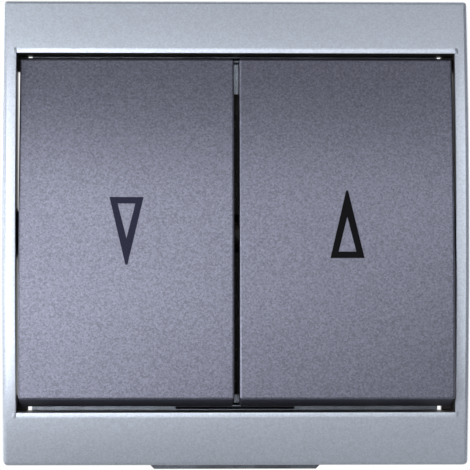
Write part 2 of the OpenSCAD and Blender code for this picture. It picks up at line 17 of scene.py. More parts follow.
import bmesh
import bpy
from mathutils import Matrix, Vector


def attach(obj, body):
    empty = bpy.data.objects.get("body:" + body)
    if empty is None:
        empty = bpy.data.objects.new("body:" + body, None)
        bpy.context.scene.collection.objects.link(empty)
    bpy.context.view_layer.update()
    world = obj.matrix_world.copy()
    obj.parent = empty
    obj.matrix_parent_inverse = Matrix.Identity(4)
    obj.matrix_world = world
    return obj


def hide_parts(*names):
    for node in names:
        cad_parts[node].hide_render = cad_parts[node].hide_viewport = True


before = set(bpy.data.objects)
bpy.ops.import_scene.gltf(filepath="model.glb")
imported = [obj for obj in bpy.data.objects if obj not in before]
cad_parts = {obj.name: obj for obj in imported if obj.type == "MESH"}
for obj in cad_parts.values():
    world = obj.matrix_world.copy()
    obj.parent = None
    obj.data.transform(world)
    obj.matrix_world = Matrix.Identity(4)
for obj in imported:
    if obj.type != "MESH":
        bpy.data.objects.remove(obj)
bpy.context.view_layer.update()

MM = 0.001
log = logging.getLogger("roller_shutter_switch")


class Side(Enum):
    """The two halves of the switch, by the direction that the shutter takes."""

    DOWN = "down"
    UP = "up"

    @property
    def sign(self) -> int:
        """The half's place across the switch: -1 for the left, 1 for the right."""
        return -1 if self is Side.DOWN else 1


class Metal(Enum):
    """The uncoated metals of the insert, by what they are used for."""

    SPRING_STEEL = "spring_steel"
    COPPER_ALLOY = "copper_alloy"
    CONTACT_SILVER = "contact_silver"
    STRIP_BRASS = "strip_brass"
    BLOCK_BRASS = "block_brass"
    SCREW_STEEL = "screw_steel"
    RIVET_STEEL = "rivet_steel"


def linear(red: int, green: int, blue: int) -> tuple[float, float, float, float]:
    """Turn a colour as a screen shows it into the linear values that shaders use.

    Args:
        red: Red level from 0 to 255.
        green: Green level from 0 to 255.
        blue: Blue level from 0 to 255.

    Returns:
        Linear red, green and blue, and an alpha of 1.
    """

    def one(level: int) -> float:
        """Undo the screen's curve for one level."""
        share = level / 255
        return share / 12.92 if share <= 0.04045 else ((share + 0.055) / 1.055) ** 2.4

    return one(red), one(green), one(blue), 1.0


def shaded(tint: tuple[float, ...], factor: float) -> tuple[float, float, float, float]:
    """Make a linear colour darker or brighter.

    Args:
        tint: The linear colour.
        factor: What its red, green and blue are multiplied by.

    Returns:
        The new colour, kept at or below 1, with an alpha of 1.
    """
    red, green, blue = (min(1.0, channel * factor) for channel in tint[:3])
    return red, green, blue, 1.0


@dataclass(frozen=True)
class Wave:
    """A number that changes over a surface, carried by a node's socket."""

    tree: bpy.types.NodeTree
    socket: bpy.types.NodeSocket

    def _maths(self, operation: str, first: object, second: object) -> "Wave":
        """Add one Math node.

        Args:
            operation: The Math node's operation.
            first: Its first value, a number or a wave.
            second: Its second value, a number or a wave.

        Returns:
            The wave of its result.
        """
        node = self.tree.nodes.new("ShaderNodeMath")
        node.operation = operation
        for slot, value in zip(node.inputs, (first, second)):
            if isinstance(value, Wave):
                self.tree.links.new(value.socket, slot)
            else:
                slot.default_value = float(value)
        return Wave(self.tree, node.outputs[0])

    def __add__(self, other: object) -> "Wave":
        """Add a number or a wave."""
        return self._maths("ADD", self, other)

    __radd__ = __add__

    def __sub__(self, other: object) -> "Wave":
        """Take a number or a wave away."""
        return self._maths("SUBTRACT", self, other)

    def __rsub__(self, other: object) -> "Wave":
        """Take this wave away from a number."""
        return self._maths("SUBTRACT", other, self)

    def __mul__(self, other: object) -> "Wave":
        """Multiply by a number or a wave."""
        return self._maths("MULTIPLY", self, other)

    __rmul__ = __mul__

    def __pow__(self, other: object) -> "Wave":
        """Raise to a power."""
        return self._maths("POWER", self, other)

    def __gt__(self, other: object) -> "Wave":
        """Give 1 where this wave is above the other value, and 0 elsewhere."""
        return self._maths("GREATER_THAN", self, other)


class Bench:
    """The node tree of one material or world, with the one method that adds nodes to it."""

    def __init__(self, tree: bpy.types.NodeTree) -> None:
        """Take over an empty tree.

        Args:
            tree: The node tree to work in. Its default nodes are removed.
        """
        self.tree = tree
        self.tree.nodes.clear()

    def node(self, kind: str, settings: dict[str, object] | None = None, **sockets: object) -> bpy.types.Node:
        """Add a node.

        Args:
            kind: The node's type, without the ShaderNode in front of it.
            settings: What is set on the node before its sockets, such as an operation. A ramp's
                stops are given as "stops", a list of places and colours.
            sockets: Values or links of its sockets. A socket's name is written in small letters
                with _ for a space.

        Returns:
            The new node.
        """
        node = self.tree.nodes.new("ShaderNode" + kind)
        for name, value in (settings or {}).items():
            if name == "stops":
                ramp = node.color_ramp
                while len(ramp.elements) < len(value):
                    ramp.elements.new(1.0)
                for element, (place, colour) in zip(ramp.elements, value):
                    element.position = place
                    element.color = colour
            else:
                setattr(node, name, value)
        for name, value in sockets.items():
            wanted = name.replace("_", " ").lower()
            slot = next(s for s in node.inputs if s.enabled and s.name.lower() == wanted)
            if isinstance(value, Wave):
                self.tree.links.new(value.socket, slot)
            elif isinstance(value, bpy.types.NodeSocket):
                self.tree.links.new(value, slot)
            else:
                slot.default_value = value
        return node

    def place(self, stretch: tuple[float, float, float] = (1.0, 1.0, 1.0)) -> bpy.types.NodeSocket:
        """Give the place on the object in metres, stretched along its axes.

        Args:
            stretch: What each coordinate is multiplied by.

        Returns:
            The vector socket.
        """
        coordinate = self.node("TexCoord").outputs["Object"]
        if stretch == (1.0, 1.0, 1.0):
            return coordinate
        return self.node("Mapping", {"vector_type": "POINT"}, vector=coordinate, scale=stretch).outputs[0]

    def noise(self, size: float, detail: float = 2.0, place: bpy.types.NodeSocket | None = None) -> Wave:
        """Add soft noise from 0 to 1.

        Args:
            size: How large its patches are, in metres.
            detail: How many finer layers it has.
            place: Where it is read, or None for the place on the object.

        Returns:
            The noise.
        """
        spot = place or self.place()
        node = self.node("TexNoise", None, vector=spot, scale=1 / size, detail=detail, roughness=0.55)
        return Wave(self.tree, node.outputs[0])

    def cells(self, size: float, output: str = "Color") -> Wave:
        """Add small random cells.

        Args:
            size: How large one cell is, in metres.
            output: "Color" for a random level in each cell, "Distance" for the way to its middle.

        Returns:
            The cells.
        """
        node = self.node("TexVoronoi", {"feature": "F1"}, vector=self.place(), scale=1 / size)
        if output == "Distance":
            return Wave(self.tree, node.outputs["Distance"])
        split = self.node("SeparateColor", None, color=node.outputs["Color"])
        return Wave(self.tree, split.outputs[0])

    def between(self, wave: Wave, low: float, high: float) -> Wave:
        """Stretch a wave so that low becomes 0 and high becomes 1, and cut off the rest.

        Args:
            wave: The wave.
            low: The value that becomes 0.
            high: The value that becomes 1.

        Returns:
            The stretched wave.
        """
        node = self.node("MapRange", {"clamp": True}, value=wave, from_min=low, from_max=high)
        return Wave(self.tree, node.outputs[0])

    def mix(self, factor: Wave, dark: object, bright: object) -> bpy.types.NodeSocket:
        """Mix two colours.

        Args:
            factor: 0 for the first colour, 1 for the second.
            dark: The first colour or a socket that carries one.
            bright: The second colour or a socket that carries one.

        Returns:
            The socket of the mixed colour.
        """
        node = self.tree.nodes.new("ShaderNodeMix")
        node.data_type = "RGBA"
        node.clamp_factor = True
        self.tree.links.new(factor.socket, node.inputs[0])
        colours = [s for s in node.inputs if s.type == "RGBA"]
        for slot, value in zip(colours, (dark, bright)):
            if isinstance(value, bpy.types.NodeSocket):
                self.tree.links.new(value, slot)
            else:
                slot.default_value = value
        return next(s for s in node.outputs if s.type == "RGBA")

    def bump(self, height: Wave, depth: float, strength: float = 1.0) -> bpy.types.NodeSocket:
        """Turn a height into a surface direction.

        Args:
            height: The height from 0 to 1.
            depth: How deep 1 is, in metres.
            strength: How much of it is used.

        Returns:
            The normal socket.
        """
        return self.node("Bump", None, height=height, distance=depth, strength=strength).outputs[0]

    def surface(self, **sockets: object) -> None:
        """Finish a material with its shader.

        Args:
            sockets: Values or links of the shader's sockets.
        """
        shader = self.node("BsdfPrincipled", None, **sockets)
        self.node("OutputMaterial", None, surface=shader.outputs[0])


@dataclass(frozen=True)
class Finish:
    """A finish that can be put on pieces."""

    name: str

    def dress(self, bench: Bench) -> None:
        """Make the finish's nodes. Each kind of finish has its own.

        Args:
            bench: Where the nodes go.
        """
        raise NotImplementedError

    def material(self) -> bpy.types.Material:
        """Give the finish's material, made once."""
        made = bpy.data.materials.get("finish_" + self.name)
        if made is None:
            made = bpy.data.materials.new("finish_" + self.name)
            made.use_nodes = True
            self.dress(Bench(made.node_tree))
        return made


@dataclass(frozen=True)
class FlakeLacquer(Finish):
    """Sprayed lacquer with metal flakes on moulded plastic."""

    tint: tuple[float, float, float, float]
    metallic: float = 0.55
    roughness: float = 0.3
    flake: float = 0.3 * MM
    contrast: float = 0.16
    tilt: float = 0.2
    coat: float = 0.05

    def painted_shade(self, bench: Bench) -> Wave | None:
        """Tell where shade is painted on the lacquer. On most pieces none is."""
        return None

    def relief(self, bench: Bench, cluster: Wave) -> Wave:
        """Give the lacquer's height in metres.

        Args:
            bench: Where the nodes go.
            cluster: The noise of the flakes' clusters.

        Returns:
            The height.
        """
        return cluster * (0.02 * MM * self.tilt)

    def dress(self, bench: Bench) -> None:
        """Vary colour, gloss and tilt from flake to flake.

        Args:
            bench: Where the nodes go.
        """
        flakes = bench.cells(self.flake)
        cluster = bench.noise(self.flake * 1.6, 2.0)
        cloud = bench.noise(9 * MM, 2.0)
        level = flakes * 0.7 + bench.between(cluster, 0.3, 0.7) * 0.3
        colour = bench.mix(level, shaded(self.tint, 1 - self.contrast), shaded(self.tint, 1 + self.contrast))
        rough = self.roughness + (cluster - 0.5) * 0.08 + (cloud - 0.5) * 0.04
        metallic: Wave | float = self.metallic
        # painted shade: where the finish has it, the colour goes to a dark plastic tint, duller and not
        # metallic
        painted_shade = self.painted_shade(bench)
        if painted_shade is not None:
            colour = bench.mix(painted_shade, colour, PAINTED_SHADE_TINT)
            rough = rough + painted_shade * 0.18
            metallic = self.metallic - painted_shade * self.metallic
        bench.surface(
            base_color=colour,
            metallic=metallic,
            roughness=rough,
            normal=bench.bump(self.relief(bench, cluster), 1.0),
            coat_weight=self.coat,
            coat_roughness=0.3,
        )


@dataclass(frozen=True)
class FrameLacquer(FlakeLacquer):
    """The cover frame's lacquer, with painted shade inside the opening, behind the front and on the side bars
    next to the opening.
    """

    half_width: float = 38.05 * MM
    half_height: float = 30.95 * MM
    half_inside: float = 38.5 * MM
    front: float = -11.5 * MM
    front_radius: float = 230.3 * MM
    shade_start: float = 0.25 * MM
    shade_full: float = 0.9 * MM
    hollow_depth: float = 2.05 * MM
    rim_start: float = 30.9 * MM
    rim_width: float = 0.9 * MM
    rim_fall: float = 0.12 * MM
    bar_start: float = 37.7 * MM
    opening_shade_width: float = 1.5 * MM
    opening_shade: float = 0.17
    opening_shade_past_rim: float = 0.4 * MM
    opening_shade_before_rim: float = 0.6 * MM
    rim_end_width: float = 0.2 * MM
    rim_lead: float = 0.1 * MM

    def painted_shade(self, bench: Bench) -> Wave | None:
        """Tell where shade is painted on the frame as a dark plastic colour.

        The painted shade covers the opening's walls and the hollow behind the bars, and it darkens the side
        bars a little towards the opening.

        Args:
            bench: Where the nodes go.

        Returns:
            1 where the painted shade is full, 0 on the lacquer, with a soft edge between.
        """
        split = bench.node("SeparateXYZ", None, vector=bench.place())
        across, depth, height = (Wave(bench.tree, split.outputs[axis]) for axis in "XYZ")
        behind = depth - self.front - height * height * (0.5 / self.front_radius)
        in_width = 1.0 - (across * across > self.half_width**2)
        in_opening = in_width * (1.0 - (height * height > self.half_height**2))
        in_bars = in_width * (1.0 - (height * height > self.half_inside**2))
        # painted shade on the opening's walls and in the hollow behind the bars
        walls = in_opening * bench.between(behind, self.shade_start, self.shade_full)
        hollow = in_bars * (behind > self.hollow_depth)
        aside, away = ((axis * axis) ** 0.5 for axis in (across, height))
        # painted shade on the side bars, growing darker towards the opening
        edge = bench.between(aside, self.bar_start + self.opening_shade_width, self.bar_start)
        beside = bench.between(
            away, self.rim_start + self.opening_shade_past_rim, self.rim_start - self.opening_shade_before_rim
        )
        return bench.between(walls + hollow + edge * beside * self.opening_shade, 0.0, 1.0)

    def relief(self, bench: Bench, cluster: Wave) -> Wave:
        """Soften the rim of the opening above and below the rockers.

        Args:
            bench: Where the nodes go.
            cluster: The noise of the flakes' clusters.

        Returns:
            The height in metres.
        """
        split = bench.node("SeparateXYZ", None, vector=bench.place())
        across, height = (Wave(bench.tree, split.outputs[axis]) for axis in "XZ")
        aside, away = ((axis * axis) ** 0.5 for axis in (across, height))
        rim = bench.between(away, self.rim_start, self.rim_start + self.rim_width)
        within = bench.between(aside, self.half_width + self.rim_end_width, self.half_width)
        within = within * bench.between(away, self.rim_start - self.rim_lead, self.rim_start)
        return cluster * (0.02 * MM * self.tilt) + (1.0 - rim * rim) * within * self.rim_fall


@dataclass(frozen=True)
class PrintInk(Finish):
    """Pad-printed ink on the lacquer."""

    tint: tuple[float, float, float, float]

    def dress(self, bench: Bench) -> None:
        """Let the lacquer's grain show a little through the ink.

        Args:
            bench: Where the nodes go.
        """
        grain = bench.noise(0.22 * MM, 3.0)
        colour = bench.mix(bench.between(grain, 0.3, 0.7), shaded(self.tint, 0.8), shaded(self.tint, 1.2))
        bench.surface(
            base_color=colour,
            roughness=0.55 + (grain - 0.5) * 0.15,
            normal=bench.bump(grain, 0.008 * MM, 0.5),
            specular_ior_level=0.12,
        )


@dataclass(frozen=True)
class ZincSteel(Finish):
    """Stamped steel sheet with a bright zinc skin."""

    tint: tuple[float, float, float, float]

    def dress(self, bench: Bench) -> None:
        """Lay rolling lines and a faint cloud of zinc over the sheet.

        Args:
            bench: Where the nodes go.
        """
        lines = bench.noise(0.35 * MM, 2.0, bench.place((0.05, 1.0, 1.0)))
        spangle = bench.cells(1.6 * MM)
        cloud = bench.noise(6 * MM, 4.0)
        level = bench.between(spangle * 0.35 + cloud * 0.65, 0.2, 0.8)
        colour = bench.mix(level, shaded(self.tint, 0.72), shaded(self.tint, 1.12))
        bench.surface(
            base_color=colour,
            metallic=0.92,
            roughness=0.15 + cloud * 0.1 + lines * 0.05,
            normal=bench.bump(lines, 0.01 * MM, 0.5),
        )


@dataclass(frozen=True)
class MouldedPlastic(Finish):
    """Moulded plastic with a fine spark-eroded skin."""

    tint: tuple[float, float, float, float]
    roughness: float = 0.46
    grain: float = 0.18 * MM
    fleck: float = 0.12

    def dress(self, bench: Bench) -> None:
        """Vary the skin's colour and gloss, with soft flow clouds in it.

        Args:
            bench: Where the nodes go.
        """
        grain = bench.noise(self.grain, 3.0)
        flow = bench.noise(7 * MM, 2.0, bench.place((1.0, 1.0, 0.4)))
        level = bench.between(grain * 0.45 + flow * 0.55, 0.25, 0.75)
        colour = bench.mix(level, shaded(self.tint, 1 - self.fleck), shaded(self.tint, 1 + self.fleck))
        bench.surface(
            base_color=colour,
            roughness=self.roughness + (flow - 0.5) * 0.1 + (grain - 0.5) * 0.06,
            normal=bench.bump(grain, 0.012 * MM, 0.6),
        )


@dataclass(frozen=True)
class FilledThermoset(Finish):
    """Dark thermoset with a mineral filler that shows as fine specks."""

    tint: tuple[float, float, float, float]
    speck: tuple[float, float, float, float]

    def dress(self, bench: Bench) -> None:
        """Scatter pale specks over a dull brown-black skin.

        Args:
            bench: Where the nodes go.
        """
        grains = bench.cells(0.3 * MM)
        cloud = bench.noise(5 * MM, 3.0)
        ground = bench.mix(cloud, shaded(self.tint, 0.85), shaded(self.tint, 1.2))
        colour = bench.mix((grains > 0.93) * 0.55, ground, self.speck)
        bench.surface(
            base_color=colour,
            roughness=0.42 + cloud * 0.14,
            normal=bench.bump(bench.noise(0.2 * MM, 3.0), 0.012 * MM, 0.7),
        )


@dataclass(frozen=True)
class BareMetal(Finish):
    """Drawn, turned or rolled metal without a coat."""

    tint: tuple[float, float, float, float]
    stretch: tuple[float, float, float] = (0.08, 1.0, 1.0)
    roughness: float = 0.3

    def dress(self, bench: Bench) -> None:
        """Draw fine lines along the metal and a light tarnish over it.

        Args:
            bench: Where the nodes go.
        """
        lines = bench.noise(0.12 * MM, 2.0, bench.place(self.stretch))
        tarnish = bench.noise(2.2 * MM, 4.0)
        colour = bench.mix(bench.between(tarnish, 0.35, 0.75), self.tint, shaded(self.tint, 0.62))
        bench.surface(
            base_color=colour,
            metallic=1.0,
            roughness=self.roughness + (tarnish - 0.5) * 0.16 + (lines - 0.5) * 0.08,
            normal=bench.bump(lines, 0.006 * MM, 0.5),
        )


# dark plastic colour of the frame's painted shade
PAINTED_SHADE_TINT = linear(58, 52, 50)
SILVER_LACQUER = FrameLacquer("silver_lacquer", linear(211, 220, 235), 0.6, 0.3, 0.24 * MM, 0.11, 0.08, 0.08)
ANTHRACITE_LACQUER = FlakeLacquer(
    "anthracite_lacquer", linear(119, 121, 138), 0.65, 0.3, 0.24 * MM, 0.33, 0.16, 0.04
)
# the down arrow's black print, painted lighter and bluer as painted light from the lamps on the left
LIT_BLACK_PRINT = PrintInk("slate_print", linear(45, 46, 69))
BLACK_PRINT = PrintInk("black_print", linear(4, 5, 10))
ZINC_STEEL = ZincSteel("zinc_steel", linear(126, 132, 142))
BLACK_PLASTIC = MouldedPlastic("black_plastic", linear(28, 28, 30))
GREY_COVER = MouldedPlastic("grey_cover", linear(58, 58, 61), 0.5)
IVORY_PLASTIC = MouldedPlastic("ivory_plastic", linear(222, 214, 190), 0.4, 0.2 * MM, 0.05)
WHITE_PLASTIC = MouldedPlastic("white_plastic", linear(230, 230, 226), 0.34, 0.2 * MM, 0.04)
DARK_THERMOSET = FilledThermoset("dark_thermoset", linear(46, 38, 35), linear(120, 104, 92))
BARE_METALS: dict[Metal, BareMetal] = {
    Metal.SPRING_STEEL: BareMetal("spring_steel", linear(190, 192, 198), (1.0, 0.2, 1.0), 0.26),
    Metal.COPPER_ALLOY: BareMetal("copper_alloy", linear(214, 148, 104), (0.5, 1.0, 0.1), 0.28),
    Metal.CONTACT_SILVER: BareMetal("contact_silver", linear(225, 224, 220), (1.0, 1.0, 1.0), 0.24),
    Metal.STRIP_BRASS: BareMetal("strip_brass", linear(222, 190, 120), (0.08, 1.0, 1.0), 0.3),
    Metal.BLOCK_BRASS: BareMetal("block_brass", linear(208, 174, 104), (1.0, 1.0, 0.1), 0.32),
    Metal.SCREW_STEEL: BareMetal("screw_steel", linear(196, 190, 172), (1.0, 1.0, 0.3), 0.3),
    Metal.RIVET_STEEL: BareMetal("rivet_steel", linear(176, 178, 182), (1.0, 0.3, 1.0), 0.36),
}


def coat_node(name: str, finish: Finish) -> None:
    """Put a finish on one of the exact solids.

    Args:
        name: The solid's name.
        finish: The finish it gets.
    """
    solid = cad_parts[name]
    if not solid.material_slots:
        solid.data.materials.append(None)
    for slot in solid.material_slots:
        slot.material = finish.material()
    log.info("%s wears %s", name, finish.name)


@dataclass
class Cover:
    """The cover frame with its bowed top and bottom bars."""

    nodes: tuple[str, ...] = ("cover_frame",)
    finish: Finish = SILVER_LACQUER

    def build(self) -> None:
        """Dress the frame."""
        for name in self.nodes:
            coat_node(name, self.finish)


@dataclass
class PlungerSpring:
    """The coil spring that presses a plunger on its contact lever."""

    side: Side
    across: float = 10.0 * MM
    radius: float = 1.25 * MM
    wire: float = 0.25 * MM
    back: float = -2.0 * MM
    front: float = 3.2 * MM
    turns: float = 5.5
    dead_turns: float = 0.8
    steps_per_turn: int = 36
    finish: Finish = BARE_METALS[Metal.SPRING_STEEL]

    def _wind(
        self, wire_end: list[bmesh.types.BMVert], shape: bmesh.types.BMesh, turns: float, rise: float
    ) -> list:
        """Sweep the end of the wire round the spring's axis.

        Args:
            wire_end: The ring of vertices at the wire's present end.
            shape: The mesh being made.
            turns: How many turns are wound.
            rise: How far the wire climbs on the way.

        Returns:
            The ring of vertices at the wire's new end.
        """
        steps = round(turns * self.steps_per_turn)
        edges = [edge for edge in shape.edges if all(vert in wire_end for vert in edge.verts)]
        wound = bmesh.ops.spin(
            shape,
            geom=edges,
            cent=(self.side.sign * self.across, 0.0, 0.0),
            axis=(0.0, 1.0, 0.0),
            dvec=(0.0, rise / steps, 0.0),
            angle=math.tau * turns,
            steps=steps,
            use_duplicate=False,
        )
        return [item for item in wound["geom_last"] if isinstance(item, bmesh.types.BMVert)]

    def build(self) -> bpy.types.Object:
        """Wind the spring with flattened end turns and put it in its plunger's bore.

        Returns:
            The finished piece.
        """
        shape = bmesh.new()
        ring = bmesh.ops.create_circle(shape, cap_ends=False, segments=12, radius=self.wire)["verts"]
        start = Vector((self.side.sign * self.across + self.radius, self.back + self.wire, 0.0))
        bmesh.ops.translate(shape, vec=start, verts=ring)
        first = [edge for edge in shape.edges]
        coils = self.turns - 2 * self.dead_turns
        length = self.front - self.back - 2 * self.wire
        flat = 1.9 * self.wire * self.dead_turns
        end = self._wind(ring, shape, self.dead_turns, flat)
        end = self._wind(end, shape, coils, length - 2 * flat)
        end = self._wind(end, shape, self.dead_turns, flat)
        last = [edge for edge in shape.edges if all(vert in end for vert in edge.verts)]
        bmesh.ops.holes_fill(shape, edges=first + last, sides=0)
        bmesh.ops.recalc_face_normals(shape, faces=shape.faces)
        return finish_piece(f"{self.side.value}_coil", shape, self.finish)


def finish_piece(
    name: str, shape: bmesh.types.BMesh, finish: Finish, crease: float = 50.0
) -> bpy.types.Object:
    """Turn a made mesh into a piece of the scene.

    Args:
        name: The piece's name.
        shape: The mesh, in metres and in its place. It is freed.
        finish: The finish it gets.
        crease: The angle in degrees above which an edge stays sharp.

    Returns:
        The piece, at the origin, unturned and unscaled.
    """
    mesh = bpy.data.meshes.new(name)
    for face in shape.faces:
        face.smooth = True
    for edge in shape.edges:
        edge.smooth = edge.is_manifold and edge.calc_face_angle() < math.radians(crease)
    shape.to_mesh(mesh)
    shape.free()
    piece = bpy.data.objects.new(name, mesh)
    bpy.context.scene.collection.objects.link(piece)
    mesh.materials.append(finish.material())
    log.info("%s is made with %d faces", name, len(mesh.polygons))
    return piece


@dataclass
class RivetSet:
    """The four hollow-set rivets that hold the housing's cap on the plate."""

    across: float = 4.0 * MM
    height: float = 23.9 * MM
    shank_radius: float = 1.25 * MM
    head_radius: float = 2.0 * MM
    front: float = -1.6 * MM
    plate_front: float = -1.0 * MM
    cap_back: float = 1.5 * MM
    back: float = 2.0 * MM
    finish: Finish = BARE_METALS[Metal.RIVET_STEEL]

    def _outline(self) -> list[tuple[float, float]]:
        """Give the rivet's outline as radius and depth, from its front dimple to its set end."""
        rim = 0.25 * MM
        return [
            (0.0, self.front + 0.12 * MM),
            (0.7 * MM, self.front),
            (1.35 * MM, self.front + 0.06 * MM),
            (self.head_radius - 0.12 * MM, self.front + rim),
            (self.head_radius, self.plate_front - 0.08 * MM),
            (self.head_radius - 0.06 * MM, self.plate_front),
            (self.shank_radius, self.plate_front),
            (self.shank_radius, self.cap_back),
            (self.head_radius - 0.1 * MM, self.cap_back),
            (self.head_radius, self.cap_back + 0.12 * MM),
            (1.5 * MM, self.back - 0.08 * MM),
            (1.0 * MM, self.back),
            (0.75 * MM, self.back - 0.3 * MM),
            (0.0, self.back - 0.34 * MM),
        ]

    def build(self) -> bpy.types.Object:
        """Turn the rivets from their outline.

        Returns:
            The finished piece.
        """
        shape = bmesh.new()
        for x in (-self.across, self.across):
            for z in (-self.height, self.height):
                chain = [
                    bmesh.ops.create_vert(shape, co=(x + radius, y, z))["vert"][0]
                    for radius, y in self._outline()
                ]
                edges = [shape.edges.new(pair) for pair in zip(chain, chain[1:])]
                bmesh.ops.spin(
                    shape,
                    geom=chain + edges,
                    cent=(x, 0.0, z),
                    axis=(0.0, 1.0, 0.0),
                    angle=math.tau,
                    steps=40,
                    use_merge=True,
                    use_duplicate=False,
                )
        bmesh.ops.remove_doubles(shape, verts=shape.verts, dist=0.001 * MM)
        bmesh.ops.recalc_face_normals(shape, faces=shape.faces)
        return finish_piece("set_rivets", shape, self.finish)


@dataclass
class PlateShadeStrips:
    """Two dark strips laid on the plate between its rivets, as painted shade where the plate lies in shadow
    between the rockers.
    """

    half_width: float = 1.7 * MM
    spans: tuple[tuple[float, float], ...] = ((-28.2 * MM, -20.6 * MM), (20.6 * MM, 24.4 * MM))
    plate_front: float = -1.0 * MM
    thickness: float = 0.5 * MM
    edge: float = 0.15 * MM
    finish: Finish = DARK_THERMOSET

    def build(self) -> bpy.types.Object:
        """Shape the strips from blocks with broken edges.

        Returns:
            The finished piece.
        """
        shape = bmesh.new()
        for low, high in self.spans:
            made = bmesh.ops.create_cube(shape, size=1.0)["verts"]
            bmesh.ops.scale(shape, vec=(2 * self.half_width, self.thickness, high - low), verts=made)
            middle = (0.0, self.plate_front - self.thickness / 2, (low + high) / 2)
            bmesh.ops.translate(shape, vec=middle, verts=made)
        front = [
            edge
            for edge in shape.edges
            if not all(abs(vert.co.y - self.plate_front) < 0.01 * MM for vert in edge.verts)
        ]
        bmesh.ops.bevel(
            shape, geom=front, offset=self.edge, segments=3, profile=0.5, affect="EDGES", material=-1
        )
        bmesh.ops.recalc_face_normals(shape, faces=shape.faces)
        return finish_piece("plate_shade_strips", shape, self.finish)


@dataclass
class RockerHalf:
    """One rocker with its printed arrow, toggle, plunger and spring."""

    side: Side
    arrow_ink: Finish

    def build(self) -> None:
        """Dress the half's solids and wind its spring."""
        way = self.side.value
        coat_node(f"{way}_rocker", ANTHRACITE_LACQUER)
        coat_node(f"{way}_mark", self.arrow_ink)
        coat_node(f"{way}_toggle", IVORY_PLASTIC)
        coat_node(f"{way}_plunger", WHITE_PLASTIC)
        spring = PlungerSpring(self.side)
        piece = spring.build()
        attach(piece, f"{way}_rocker_group")
        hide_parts(f"{way}_spring")
        coat_node(f"{way}_spring", spring.finish)


@dataclass
class Carrier:
    """The steel plate with its catches, rivets and the insulating housing."""

    finishes: dict[str, Finish] = field(
        default_factory=lambda: {
            "mounting_plate": ZINC_STEEL,
            "left_catch": BLACK_PLASTIC,
            "right_catch": BLACK_PLASTIC,
            "plate_rivets": BARE_METALS[Metal.RIVET_STEEL],
            "housing_cap": DARK_THERMOSET,
            "housing": DARK_THERMOSET,
            "rear_cover": GREY_COVER,
        }
    )

    def build(self) -> None:
        """Dress the carrier's solids and set its rivets."""
        for name, finish in self.finishes.items():
            coat_node(name, finish)
        rivets = RivetSet()
        piece = rivets.build()
        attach(piece, "switch_base")
        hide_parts("plate_rivets")
        # dark strips on the plate: painted shade between the rockers
        shade_strips = PlateShadeStrips()
        piece = shade_strips.build()
        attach(piece, "switch_base")


@dataclass
class Contacts:
    """The rocking levers, the brass strips and the silver contacts."""

    def build(self) -> None:
        """Dress the current-carrying pieces."""
        for side in Side:
            coat_node(f"{side.value}_lever", BARE_METALS[Metal.COPPER_ALLOY])
            coat_node(f"{side.value}_bar", BARE_METALS[Metal.STRIP_BRASS])
            coat_node(f"{side.value}_contact", BARE_METALS[Metal.CONTACT_SILVER])
        for name in ("down_lever_contact", "up_lever_contacts", "link_contact"):
            coat_node(name, BARE_METALS[Metal.CONTACT_SILVER])
        for name in ("live_bar", "link_bar"):
            coat_node(name, BARE_METALS[Metal.STRIP_BRASS])


